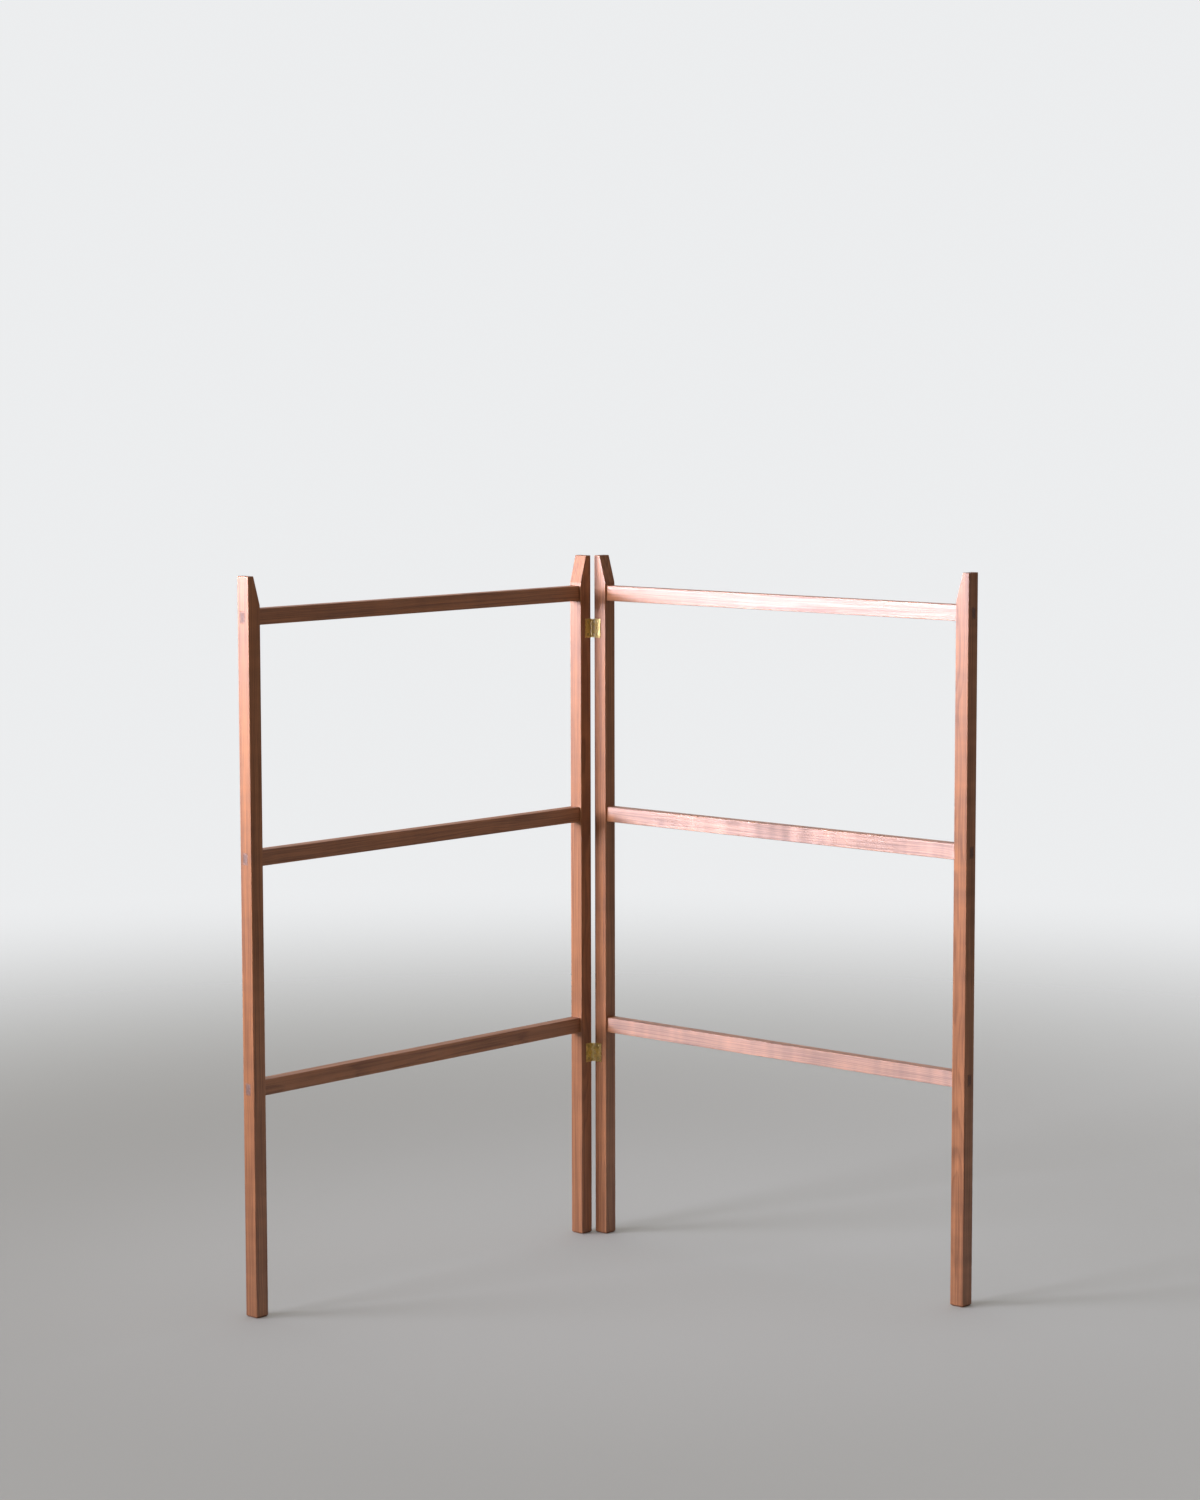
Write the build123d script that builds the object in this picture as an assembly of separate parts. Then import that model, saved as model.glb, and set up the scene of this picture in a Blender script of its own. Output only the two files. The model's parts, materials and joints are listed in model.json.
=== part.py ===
from build123d import *
import math
import os

# Folding clothes drying rack: two ladder-like panels of square posts and through-tenoned rails,
# joined by two surface-mounted brass butt hinges. It stands as a V that opens towards -Y.
# Millimetres, +Z up. The origin is the bottom centre of the whole rack's bounding box.
#
# Each panel is drawn as if opened flat: the hinge axis is the Z axis, X runs along the panel away
# from the hinge, and Y runs into the wood, so the front faces look towards -Y. The right panel is
# then swung into place, and the left panel is its mirror image swung the other way.

# Panels
HEIGHT = 900.0  # post, floor to top
PANEL_WIDTH = 600.0  # over both posts
POST_SIDE = 19.0  # posts are square
OPENING_ANGLE = 91.0  # between the panels as the rack stands, degrees
ARRIS_RADIUS = 0.8  # every long edge is eased
FOOT_CHAMFER = 2.0  # round the bottom of each post
SLANT_HEIGHT = 35.0  # sloping cut at the post's top, on the rail side
SLANT_WIDTH = 10.0  # how much of the post's width that cut takes off at the top

# Rails
RAIL_CENTRES = {"top": 851.0, "middle": 561.0, "bottom": 281.0}  # heights above the floor
RAIL_HEIGHT = 19.5
RAIL_THICKNESS = 15.0
RAIL_SETBACK = 3.0  # rail's front face behind the posts' front faces
TENON_THICKNESS = 8.5
TENON_HEIGHT = 15.0
TENON_END_CHAMFER = 0.25

# Hinges: a pressed butt hinge whose leaves lie on the posts' front faces
HINGE_CENTRES = {"upper": 805.0, "lower": 243.0}
HINGE_HEIGHT = 25.0
LEAF_WIDTH = 12.5  # pin axis to the leaf's outer edge
LEAF_THICKNESS = 1.0
LEAF_CORNER_RADIUS = 0.8
LEAF_EDGE_CHAMFER = 0.3
BARREL_RADIUS = 2.0
BARREL_INSET = 0.5  # the barrel stops this far short of the leaf at each end
KNUCKLES = 5
KNUCKLE_GAP = 0.25
NOTCH_CLEARANCE = 0.1  # beside the barrel, where the other leaf's knuckle sits
PIN_RADIUS = 1.0
RUNNING_CLEARANCE = 0.05  # radial, between the pin and the right leaf's knuckles
PIN_END_CHAMFER = 0.2
POST_GAP = 2.6  # between the hinge posts when the rack is opened flat

# Screws: countersunk brass wood screws with a cross recess
SCREW_OFFSET = 7.3  # pin axis to the screws
SCREW_SPACING = 16.0
SCREW_LENGTH = 10.0
SCREW_POINT = 2.5
SHANK_RADIUS = 1.0
HEAD_RADIUS = 1.9
RECESS_LENGTH = 2.2
RECESS_WIDTH = 0.55
RECESS_DEPTH = 0.7
PILOT_CLEARANCE = 0.05

# Worked out from the above
FRONT_Y = BARREL_RADIUS  # the posts' front faces, which the leaves lie on
HINGE_POST_X = POST_GAP / 2
BAY_START = HINGE_POST_X + POST_SIDE  # rail-side face of the hinge post
BAY_END = HINGE_POST_X + PANEL_WIDTH - POST_SIDE  # rail-side face of the outer post
RAIL_Y = FRONT_Y + RAIL_SETBACK + RAIL_THICKNESS / 2
LEAF_FACE_Y = FRONT_Y - LEAF_THICKNESS
HEAD_DEPTH = HEAD_RADIUS - SHANK_RADIUS  # a right-angled countersink
BARREL_LENGTH = HINGE_HEIGHT - 2 * BARREL_INSET
KNUCKLE_PITCH = (BARREL_LENGTH + KNUCKLE_GAP) / KNUCKLES
KNUCKLE_LENGTH = KNUCKLE_PITCH - KNUCKLE_GAP
SWING = (180.0 - OPENING_ANGLE) / 2  # each panel's turn from flat, degrees


def block(x, y, z):
    """A box given by its (low, high) span along each axis."""
    size = [high - low for low, high in (x, y, z)]
    middle = [(high + low) / 2 for low, high in (x, y, z)]
    return Pos(*middle) * Box(*size)


def upright_cylinder(radius, low, high):
    """A cylinder on the hinge axis."""
    return Pos(0, 0, (low + high) / 2) * Cylinder(radius, high - low)


def screw_places(hinge_height):
    """The centres of one leaf's screw heads, on the leaf's face."""
    offsets = (-SCREW_SPACING / 2, SCREW_SPACING / 2)
    return [Pos(SCREW_OFFSET, LEAF_FACE_Y, hinge_height + dz) for dz in offsets]


def post(rail_face, outwards):
    """A square post whose rails enter at x = rail_face; outwards is the way its body lies from there."""
    straight_face = rail_face + outwards * POST_SIDE
    outline = Polyline(
        (rail_face, 0),
        (rail_face, HEIGHT - SLANT_HEIGHT),
        (rail_face + outwards * SLANT_WIDTH, HEIGHT),
        (straight_face, HEIGHT),
        (straight_face, 0),
        close=True,
    )
    back = Plane.XZ.offset(-(FRONT_Y + POST_SIDE))
    body = extrude(back * make_face(outline), amount=POST_SIDE)
    body = chamfer(body.faces().sort_by(Axis.Z)[0].edges(), FOOT_CHAMFER)
    shoulder = HEIGHT - SLANT_HEIGHT
    arrises = [
        edge
        for edge in body.edges()
        if edge.center().Z > 2 * FOOT_CHAMFER and abs(edge.center().Z - shoulder) > 1e-3
    ]
    body = fillet(arrises, ARRIS_RADIUS)
    through = sorted((rail_face - outwards, straight_face + outwards))
    for height in RAIL_CENTRES.values():
        body -= tenon(through, height)
    return body


def tenon(span, height):
    """The tenon's block over an x span, which is also what a mortise takes away."""
    half_thickness = TENON_THICKNESS / 2
    half_height = TENON_HEIGHT / 2
    return block(
        span,
        (RAIL_Y - half_thickness, RAIL_Y + half_thickness),
        (height - half_height, height + half_height),
    )


def outer_post():
    return post(BAY_END, 1)


def hinge_post():
    """The post beside the hinges, with pilot holes for both leaves' screws."""
    body = post(BAY_START, -1)
    pilot = screw_shape(PILOT_CLEARANCE)
    for height in HINGE_CENTRES.values():
        for place in screw_places(height):
            body -= place * pilot
    return body


def rail(height):
    """A rail with a through tenon at each end, flush with the posts' far faces."""
    half_height = RAIL_HEIGHT / 2
    body = block(
        (BAY_START, BAY_END),
        (FRONT_Y + RAIL_SETBACK, FRONT_Y + RAIL_SETBACK + RAIL_THICKNESS),
        (height - half_height, height + half_height),
    )
    body = fillet(body.edges().filter_by(Axis.X), ARRIS_RADIUS)
    through = tenon((HINGE_POST_X, HINGE_POST_X + PANEL_WIDTH), height)
    ends = through.faces().sort_by(Axis.X)
    through = chamfer(ends[0].edges() + ends[-1].edges(), TENON_END_CHAMFER)
    return body + through


def screw_shape(clearance=0.0):
    """A countersunk screw pointing along +Y with its head's face at y = 0, or the hole it needs."""
    shank = SHANK_RADIUS + clearance
    length = SCREW_LENGTH + clearance
    half_section = Polyline(
        (0, 0),
        (HEAD_RADIUS, 0),
        (shank, HEAD_RADIUS - shank),
        (shank, SCREW_LENGTH - SCREW_POINT),
        (0, length),
        close=True,
    )
    return revolve(make_face(half_section), Axis.Y)


def leaf_screws(hinge_height):
    """Both screws of one leaf."""
    half_length = RECESS_LENGTH / 2
    half_width = RECESS_WIDTH / 2
    long_side = (-half_length, half_length)
    short_side = (-half_width, half_width)
    recess = block(long_side, (0, RECESS_DEPTH), short_side) + block(
        short_side, (0, RECESS_DEPTH), long_side
    )
    screw = screw_shape() - recess
    return Compound(children=[(place * screw).solid() for place in screw_places(hinge_height)])


def knuckle_spans(hinge_height):
    """The barrel's knuckles from the bottom up, as (low, high) heights."""
    bottom = hinge_height - BARREL_LENGTH / 2
    starts = [bottom + n * KNUCKLE_PITCH for n in range(KNUCKLES)]
    return [(start, start + KNUCKLE_LENGTH) for start in starts]


def leaf_plate(hinge_height):
    """A leaf's flat part, with rounded outer corners and an eased front edge."""
    low = hinge_height - HINGE_HEIGHT / 2
    high = hinge_height + HINGE_HEIGHT / 2
    plate = block((0, LEAF_WIDTH), (LEAF_FACE_Y, FRONT_Y), (low, high))
    corners = plate.edges().filter_by(Axis.Y).group_by(Axis.X)[-1]
    plate = fillet(corners, LEAF_CORNER_RADIUS)
    face = plate.faces().sort_by(Axis.Y)[0]
    rim = [edge for edge in face.edges() if edge.center().X > 1e-3]
    return chamfer(rim, LEAF_EDGE_CHAMFER)


def leaf(hinge_height, first_knuckle, bore_radius):
    """A leaf with every second knuckle, counted up from first_knuckle."""
    low = hinge_height - HINGE_HEIGHT / 2
    high = hinge_height + HINGE_HEIGHT / 2
    spans = knuckle_spans(hinge_height)
    own = spans[first_knuckle::2]
    body = leaf_plate(hinge_height)
    strip_end = BARREL_RADIUS + NOTCH_CLEARANCE
    strip = block((-1, strip_end), (0, FRONT_Y + 1), (low - 1, high + 1))
    for start, end in own:
        strip -= block((-2, strip_end + 1), (-1, FRONT_Y + 2), (start, end))
    body -= strip
    for start, end in own:
        body += upright_cylinder(BARREL_RADIUS, start, end)
    body -= upright_cylinder(bore_radius, low, high)
    hole = screw_shape(PILOT_CLEARANCE)
    for place in screw_places(hinge_height):
        body -= place * hole
    return body


def hinge_pin(hinge_height):
    half = BARREL_LENGTH / 2
    body = upright_cylinder(PIN_RADIUS, hinge_height - half, hinge_height + half)
    rims = body.edges().filter_by(GeomType.CIRCLE)
    return chamfer(rims, PIN_END_CHAMFER)


def panel_pieces(first_knuckle, bore_radius):
    """One panel's pieces, drawn flat, by name without the panel's side."""
    pieces = {"outer_post": outer_post(), "hinge_post": hinge_post()}
    for place, height in RAIL_CENTRES.items():
        pieces[f"{place}_rail"] = rail(height)
    for place, height in HINGE_CENTRES.items():
        pieces[f"{place}_hinge_leaf"] = leaf(height, first_knuckle, bore_radius)
        pieces[f"{place}_leaf_screws"] = leaf_screws(height)
    return pieces


def hinge_axis_y():
    """Where the hinge axis lies once the origin is the middle of the standing rack's box."""
    turn = math.radians(SWING)
    corner_loss = ARRIS_RADIUS * (math.sin(turn) + math.cos(turn) - 1)
    back_y = FRONT_Y + POST_SIDE
    rearmost = -HINGE_POST_X * math.sin(turn) + back_y * math.cos(turn) - corner_loss
    outer_x = HINGE_POST_X + PANEL_WIDTH
    foremost = -outer_x * math.sin(turn) + FRONT_Y * math.cos(turn) + corner_loss
    return -(rearmost + foremost) / 2


def rack():
    """Every piece of the standing rack, by node name."""
    axis = Pos(0, hinge_axis_y(), 0)
    nodes = {}
    right = panel_pieces(first_knuckle=1, bore_radius=PIN_RADIUS + RUNNING_CLEARANCE)
    for name, piece in right.items():
        nodes[f"right_{name}"] = axis * Rot(0, 0, -SWING) * piece
    left = panel_pieces(first_knuckle=0, bore_radius=PIN_RADIUS)
    for name, piece in left.items():
        nodes[f"left_{name}"] = axis * Rot(0, 0, SWING) * mirror(piece, about=Plane.YZ)
    for place, height in HINGE_CENTRES.items():
        nodes[f"{place}_hinge_pin"] = axis * hinge_pin(height)
    return nodes


os.makedirs("parts", exist_ok=True)
for node, piece in rack().items():
    export_step(piece, f"parts/{node}.step")
print(f"hinge axis at y = {hinge_axis_y():.3f}")
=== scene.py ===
"""Looks of the folding clothes drying rack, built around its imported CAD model.

Two ladder-like panels of oiled cherry stand as a V on a pale studio floor, joined by two small
surface-mounted brass butt hinges. Posts, rails, leaves and pins keep their CAD shapes and get
finishes that follow each piece. The hinge screws are built here with raised heads, driver recesses
and threads. Lengths are in metres.
"""

import json
import logging
import math
from collections.abc import Iterator, Sequence
from dataclasses import dataclass, field
from enum import Enum

import bmesh
import bpy
from mathutils import Matrix, Vector


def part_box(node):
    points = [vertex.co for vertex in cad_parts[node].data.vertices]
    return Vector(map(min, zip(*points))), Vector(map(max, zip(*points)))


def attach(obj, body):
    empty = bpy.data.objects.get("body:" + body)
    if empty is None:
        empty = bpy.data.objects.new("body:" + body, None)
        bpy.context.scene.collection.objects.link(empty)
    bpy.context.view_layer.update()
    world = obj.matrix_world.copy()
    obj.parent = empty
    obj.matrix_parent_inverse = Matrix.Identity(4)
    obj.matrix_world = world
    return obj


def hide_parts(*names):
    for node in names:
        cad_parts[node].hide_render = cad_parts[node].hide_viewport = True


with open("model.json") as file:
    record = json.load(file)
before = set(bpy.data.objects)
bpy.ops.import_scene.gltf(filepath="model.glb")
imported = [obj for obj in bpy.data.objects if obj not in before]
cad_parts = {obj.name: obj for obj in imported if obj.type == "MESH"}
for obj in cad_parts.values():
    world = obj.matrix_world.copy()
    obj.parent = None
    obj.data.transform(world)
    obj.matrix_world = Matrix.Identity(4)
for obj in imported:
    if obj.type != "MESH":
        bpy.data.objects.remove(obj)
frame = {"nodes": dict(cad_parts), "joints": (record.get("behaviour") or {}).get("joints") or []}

LOG = logging.getLogger("rack")

Socket = bpy.types.NodeSocket
Value = Socket | float | Sequence[float]
Colour = tuple[float, float, float, float]

MM = 0.001
PER_MM = 1000.0
PANEL_SWING = math.radians(44.5)  # each panel's turn about the hinge axis from opened flat
SEED_SHIFT = (31.7, 17.3, 91.9)  # how far, in mm, one step of a wood seed moves its texture
BRASS_SEED_SHIFT = (7.7, 3.1, 5.3)  # the same for brass
FIBRE_ASKEW = (0.01, 0.02, 1.0)  # the fibres' way in the piece's own frame, a touch off its length


class Side(Enum):
    """The rack's two panels; the value is the panel's way along X."""

    LEFT = -1
    RIGHT = 1

    @property
    def label(self) -> str:
        """The side's name as the CAD nodes spell it."""
        return self.name.lower()

    @property
    def body(self) -> str:
        """The CAD body that this side's pieces ride on."""
        return f"{self.label}_panel"

    @property
    def along(self) -> Vector:
        """The way along the panel from the hinge axis to its outer post."""
        return Vector((self.value * math.cos(PANEL_SWING), -math.sin(PANEL_SWING), 0.0))

    @property
    def inwards(self) -> Vector:
        """The way from the panel's front face into its wood."""
        return Vector((self.value * math.sin(PANEL_SWING), math.cos(PANEL_SWING), 0.0))


class Cut(Enum):
    """How a piece was sawn; the value is where its middle lies from the tree's heart, in mm."""

    QUARTER = (74.0, 9.0)
    RIFT = (52.0, 47.0)
    FLAT = (11.0, 66.0)


class Graph:
    """Adds nodes to one node tree and links them."""

    def __init__(self, tree: bpy.types.NodeTree) -> None:
        """Wraps the node tree that every later call adds to."""
        self.tree = tree

    def put(self, socket: Socket, value: Value) -> None:
        """Links a socket or sets its value.

        Args:
            socket: The input to fill.
            value: An output socket to link, or a plain value.
        """
        if isinstance(value, Socket):
            self.tree.links.new(value, socket)
        else:
            socket.default_value = value

    def add(
        self, kind: str, values: dict[str | int, Value] | None = None, **settings: object
    ) -> bpy.types.Node:
        """Adds one node.

        Args:
            kind: The node's type, without the ShaderNode prefix.
            values: What goes into its inputs, by name or place.
            settings: The node's own properties.

        Returns:
            The new node.
        """
        node = self.tree.nodes.new(f"ShaderNode{kind}")
        for name, setting in settings.items():
            setattr(node, name, setting)
        for key, value in (values or {}).items():
            self.put(node.inputs[key], value)
        return node

    def math(self, operation: str, *values: Value, clamp: bool = False) -> Socket:
        """The result of a Math node, with its inputs in order, kept between 0 and 1 if clamped."""
        node = self.add("Math", dict(enumerate(values)), operation=operation, use_clamp=clamp)
        return node.outputs[0]

    def vector(self, operation: str, *values: Value) -> Socket:
        """The vector that a Vector Math node gives for its inputs in order."""
        return self.add("VectorMath", dict(enumerate(values)), operation=operation).outputs["Vector"]

    def times(self, vector: Value, factor: Value) -> Socket:
        """A vector made longer by one factor."""
        node = self.add("VectorMath", {"Vector": vector, "Scale": factor}, operation="SCALE")
        return node.outputs["Vector"]

    def scaled(self, vector: Value, factors: Sequence[float]) -> Socket:
        """The vector with each part multiplied by its own factor."""
        return self.vector("MULTIPLY", vector, factors)

    def length(self, vector: Value) -> Socket:
        """The length of a vector."""
        return self.add("VectorMath", {0: vector}, operation="LENGTH").outputs["Value"]

    def parts(self, vector: Value) -> tuple[Socket, Socket, Socket]:
        """The vector's X, Y and Z."""
        return tuple(self.add("SeparateXYZ", {0: vector}).outputs)

    def noise(self, vector: Value, detail: float = 2.0, roughness: float = 0.5) -> Socket:
        """A Noise Texture of scale 1 read at a place, about 0.5 on average."""
        values = {"Vector": vector, "Scale": 1.0, "Detail": detail, "Roughness": roughness}
        return self.add("TexNoise", values).outputs[0]

    def noise_line(self, place: Value) -> Socket:
        """A noise of scale 1 along one number, about 0.5 on average."""
        return self.add("TexNoise", {"W": place, "Scale": 1.0}, noise_dimensions="1D").outputs[0]

    def falling(self, value: Value, low: float, high: float) -> Socket:
        """A smooth step from 1 at low to 0 at high."""
        return self.math("SUBTRACT", 1.0, self.step(value, low, high))

    def swing(self, value: Socket, gain: float) -> Socket:
        """A value of about 0.5 turned into one of about 0, and strengthened."""
        return self.math("MULTIPLY_ADD", value, gain, -gain / 2)

    def plus(self, base: Value, value: Socket, weight: float, clamp: bool = False) -> Socket:
        """The base with a weighted value added."""
        return self.math("MULTIPLY_ADD", value, weight, base, clamp=clamp)

    def step(self, value: Value, low: float, high: float) -> Socket:
        """A smooth step from 0 at low to 1 at high."""
        values = {"Value": value, "From Min": low, "From Max": high}
        return self.add("MapRange", values, interpolation_type="SMOOTHSTEP").outputs["Result"]

    def mix(self, factor: Value, first: Value, second: Value, blend: str = "MIX") -> Socket:
        """Adds a colour Mix node.

        Args:
            factor: How much of the second colour shows.
            first: The first colour.
            second: The second colour.
            blend: How they are combined.

        Returns:
            The mixed colour.
        """
        node = self.add("Mix", data_type="RGBA", blend_type=blend)
        # The node's inputs of one name are told apart by place: 0 is the factor, 6 and 7 the colours
        for place, value in ((0, factor), (6, first), (7, second)):
            self.put(node.inputs[place], value)
        return node.outputs[2]

    def relief(self, height: Socket, distance: float, strength: float) -> Socket:
        """The surface's normal with a height laid over it."""
        values = {"Height": height, "Distance": distance, "Strength": strength}
        return self.add("Bump", values).outputs[0]

    def use(self, group: "Effect", values: dict[str, Value]) -> bpy.types.Node:
        """Places a shared node group with what goes into its inputs, by name."""
        return self.add("Group", values, node_tree=bpy.data.node_groups[group.value])


class Effect(Enum):
    """The shared node groups, by the name each one is stored under."""

    WOOD_GRAIN = "Wood grain"
    EDGE_WEAR = "Edge wear"
    BRASS_PATINA = "Brass patina"
    SCREW_SHADE = "Screw shade"


class EffectGroup:
    """A shader node group under construction."""

    def __init__(self, effect: Effect, takes: dict[str, str], gives: dict[str, str]) -> None:
        """Makes the empty group with its sockets.

        Args:
            effect: Which effect it is.
            takes: The inputs' socket types, by name.
            gives: The outputs' socket types, by name.
        """
        tree = bpy.data.node_groups.new(effect.value, "ShaderNodeTree")
        for way, sockets in (("INPUT", takes), ("OUTPUT", gives)):
            for label, kind in sockets.items():
                tree.interface.new_socket(name=label, in_out=way, socket_type=f"NodeSocket{kind}")
        self.graph = Graph(tree)
        self.take = tree.nodes.new("NodeGroupInput").outputs
        self.leave = tree.nodes.new("NodeGroupOutput").inputs

    def give(self, **results: Socket) -> None:
        """Links the results to the outputs of the same names."""
        for label, socket in results.items():
            self.graph.put(self.leave[label.replace("_", " ")], socket)


@dataclass(frozen=True)
class GrainSizes:
    """How fine each part of the wood's figure is.

    The triples are a texture's changes per mm, across the fibres twice and then along them.

    Attributes:
        drift: The slow bend of the rings.
        drift_reach: How far, in mm, that bend goes.
        wobble: The small waves of the rings.
        wobble_reach: How far, in mm, those waves go.
        years: Growth rings per mm from the heart.
        lean_years: How fast, per mm, the rings' spacing changes.
        lean_reach: How many rings that change shifts.
        late_wood: Where in a year the late wood starts and ends its drop to the next year.
        fibre: Single fibres.
        streak: Bundles of fibres.
        cloud: Slow changes of tone.
        pore: Pores, drawn out along the fibres.
        pore_cut: The noise levels at which a pore starts and is fully dark.
        band: Ripple bands straight across the fibres.
        patch: Patches that show ripple.
        patch_cut: The noise levels at which a patch starts and is full.
        speck: Specks of open end grain.
    """

    drift: tuple[float, float, float] = (0.012, 0.012, 0.0035)
    drift_reach: float = 26.0
    wobble: tuple[float, float, float] = (0.11, 0.11, 0.015)
    wobble_reach: float = 2.2
    years: float = 0.42
    lean_years: float = 0.16
    lean_reach: float = 1.6
    late_wood: tuple[float, float] = (0.76, 1.0)
    fibre: tuple[float, float, float] = (2.6, 2.6, 0.05)
    streak: tuple[float, float, float] = (0.4, 0.4, 0.006)
    cloud: tuple[float, float, float] = (0.05, 0.05, 0.012)
    pore: tuple[float, float, float] = (4.6, 4.6, 0.22)
    pore_cut: tuple[float, float] = (0.60, 0.74)
    band: tuple[float, float, float] = (0.012, 0.012, 0.06)
    patch: tuple[float, float, float] = (0.02, 0.02, 0.008)
    patch_cut: tuple[float, float] = (0.30, 0.48)
    speck: tuple[float, float, float] = (3.4, 3.4, 0.4)


def make_wood_grain(sizes: GrainSizes) -> None:
    """Makes the grain of one sawn piece, read in the piece's own frame with the fibres along Z.

    Args:
        sizes: How fine the figure is.
    """
    group = EffectGroup(
        Effect.WOOD_GRAIN,
        {
            "Position": "Vector",
            "Facing": "Vector",
            "Heart": "Vector",
            "End size": "Vector",
            "Seed": "Float",
            "Ripple": "Float",
            "Early": "Color",
            "Late": "Color",
            "End tone": "Color",
        },
        {"Color": "Color", "Roughness": "Float", "Height": "Float"},
    )
    graph, take = group.graph, group.take
    here = graph.times(take["Position"], PER_MM)
    place = graph.vector("ADD", here, graph.times(SEED_SHIFT, take["Seed"]))

    # Growth rings about the heart, bent by a slow drift along the piece
    drift = graph.add("TexNoise", {"Vector": graph.scaled(place, sizes.drift), "Scale": 1.0})
    sway = graph.vector("SUBTRACT", drift.outputs["Color"], (0.5, 0.5, 0.5))
    sway = graph.scaled(sway, (sizes.drift_reach, sizes.drift_reach, 0.0))
    bent = graph.vector("ADD", graph.vector("ADD", here, take["Heart"]), sway)
    wobble = graph.swing(graph.noise(graph.scaled(place, sizes.wobble)), sizes.wobble_reach)
    radius = graph.plus(graph.length(graph.scaled(bent, (1.0, 1.0, 0.0))), wobble, 1.0)
    uneven = graph.noise_line(graph.math("MULTIPLY", radius, sizes.lean_years))
    rings = graph.plus(graph.math("MULTIPLY", radius, sizes.years), uneven, sizes.lean_reach)
    year = graph.math("FRACT", rings)
    year_end = graph.falling(year, *sizes.late_wood)
    ring = graph.math("MULTIPLY", graph.math("POWER", year, 2.5), year_end)

    # Fibres, pores and slow changes of tone, all drawn out along the grain, each about 0
    fibre = graph.swing(graph.noise(graph.scaled(place, sizes.fibre), 3.0, 0.6), 2.0)
    streak = graph.swing(graph.noise(graph.scaled(place, sizes.streak), 3.0, 0.6), 3.0)
    cloud = graph.swing(graph.noise(graph.scaled(place, sizes.cloud)), 2.0)
    pore = graph.step(graph.noise(graph.scaled(place, sizes.pore), 1.0), *sizes.pore_cut)

    # Ripple figure: soft bands straight across the grain, in patches
    band = graph.swing(graph.noise(graph.scaled(place, sizes.band), 1.5, 0.4), 2.6)
    patch = graph.step(graph.noise(graph.scaled(place, sizes.patch), 1.0), *sizes.patch_cut)
    ripple = graph.math("MULTIPLY", graph.math("MULTIPLY", band, patch), take["Ripple"])

    # How late the wood looks, then its colour
    tone = graph.math("MULTIPLY_ADD", ring, 1.0, 0.24)
    tone = graph.plus(tone, streak, 1.05)
    tone = graph.plus(tone, cloud, 0.45)
    tone = graph.plus(tone, fibre, 0.3, clamp=True)
    colour = graph.mix(tone, take["Early"], take["Late"])
    colour = graph.mix(graph.math("MULTIPLY", pore, 0.34), colour, take["End tone"])
    colour = graph.mix(1.0, colour, graph.math("MULTIPLY_ADD", ripple, -0.6, 1.0), "MULTIPLY")

    # Cut ends drink more oil towards their middle, and show the rings as arcs
    end = graph.step(graph.math("ABSOLUTE", graph.parts(take["Facing"])[2]), 0.45, 0.85)
    share = graph.vector("DIVIDE", graph.vector("ABSOLUTE", take["Position"]), take["End size"])
    share_x, share_y, _ = graph.parts(share)
    soaked = graph.falling(graph.math("MAXIMUM", share_x, share_y), 0.5, 0.95)
    speck = graph.swing(graph.noise(graph.scaled(place, sizes.speck), 2.0, 0.6), 1.6)
    open_grain = graph.math("MULTIPLY_ADD", ring, -0.35, graph.math("MULTIPLY_ADD", soaked, 0.4, 0.45))
    open_grain = graph.plus(open_grain, speck, 0.5, clamp=True)
    colour = graph.mix(graph.math("MULTIPLY", end, open_grain), colour, take["End tone"])

    rough = graph.math("MULTIPLY_ADD", streak, 0.12, 0.43)
    for effect, weight in ((ring, 0.07), (ripple, 0.16), (pore, 0.12), (end, 0.18)):
        rough = graph.plus(rough, effect, weight)
    height = graph.math("MULTIPLY", fibre, 0.25)
    for effect, weight in ((pore, -0.8), (ring, -0.25)):
        height = graph.plus(height, effect, weight)
    group.give(Color=colour, Roughness=rough, Height=height)


def make_edge_wear() -> None:
    """Makes the mask of a box-shaped piece's edges, broken up where handling has rubbed them."""
    group = EffectGroup(
        Effect.EDGE_WEAR,
        {"Position": "Vector", "Half": "Vector", "Reach": "Float", "Seed": "Float"},
        {"Worn": "Float"},
    )
    graph, take = group.graph, group.take
    inset = graph.vector("SUBTRACT", take["Half"], graph.vector("ABSOLUTE", take["Position"]))
    x, y, z = graph.parts(inset)
    pairs = [graph.math("MAXIMUM", first, second) for first, second in ((x, y), (y, z), (x, z))]
    nearest = graph.math("MINIMUM", graph.math("MINIMUM", pairs[0], pairs[1]), pairs[2])
    edge = graph.falling(graph.math("DIVIDE", nearest, take["Reach"]), 0.1, 1.0)
    handled = {
        "Vector": graph.scaled(take["Position"], (60.0, 60.0, 20.0)),
        "W": take["Seed"],
        "Scale": 1.0,
        "Detail": 4.0,
    }
    rubbed = graph.add("TexNoise", handled, noise_dimensions="4D")
    group.give(Worn=graph.math("MULTIPLY", edge, graph.step(rubbed.outputs[0], 0.38, 0.66)))


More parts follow.
